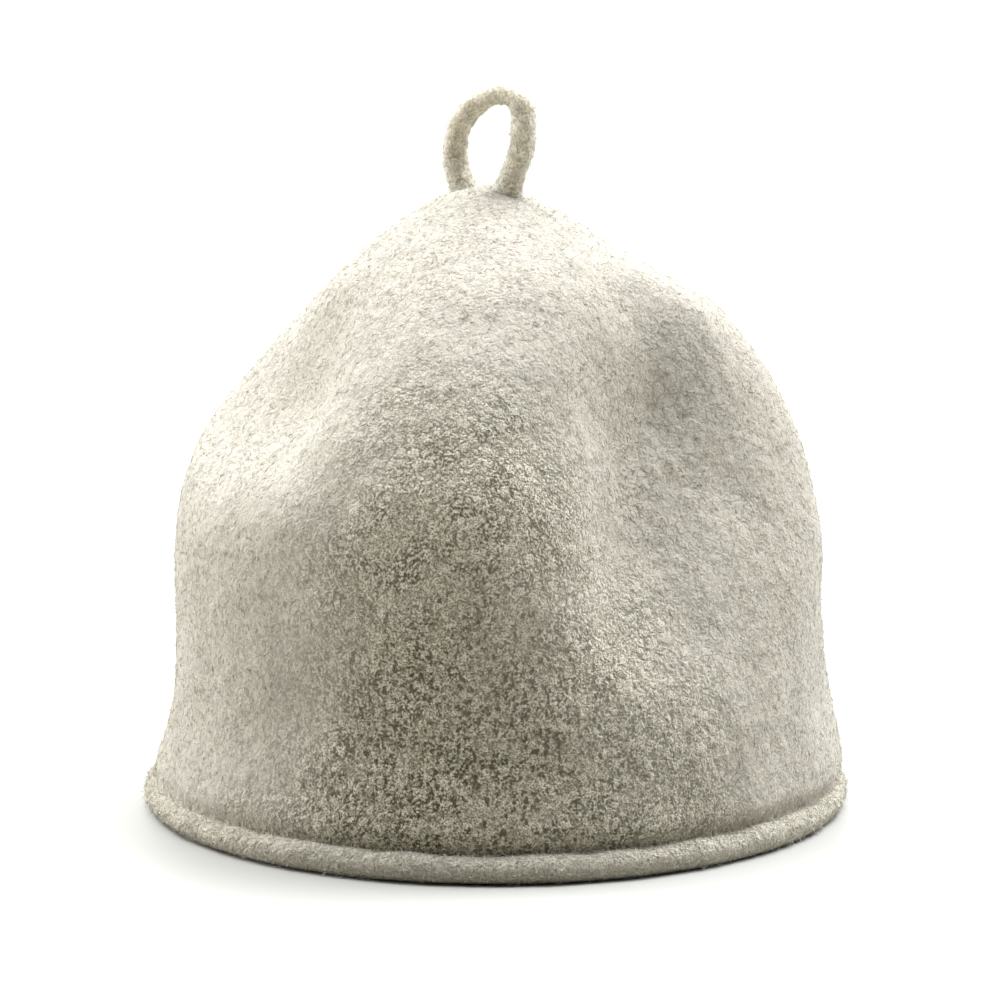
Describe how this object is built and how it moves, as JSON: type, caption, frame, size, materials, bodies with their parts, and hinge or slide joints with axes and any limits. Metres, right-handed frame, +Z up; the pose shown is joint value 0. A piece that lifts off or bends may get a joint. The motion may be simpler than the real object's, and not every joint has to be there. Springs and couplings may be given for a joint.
{
  "type": "sauna hat",
  "caption": "Bell-shaped felted knit sauna hat, hollow and open below, with a rolled rim, two soft dents in the crown and a hanging loop on the peak.",
  "frame": {"origin": "on the ground under the middle of the rim", "axes": "+Z up from the rim to the peak, -Y towards the front of the picture's view, +X to that view's right"},
  "size_m": [0.209, 0.209, 0.2132],
  "materials": {
    "crown_felt": "thick fulled wool knit, pebbled grain with a fine curly nap, matt",
    "roll_felt": "fulled wool knit rolled to a round edge, smoother than the crown, matt",
    "loop_felt": "round felted wool cord, fuzzy, matt"
  },
  "bodies": {
    "root": {"crown": "crown_felt", "rim_roll": "roll_felt", "hanging_loop": "loop_felt"}
  },
  "joints": []
}
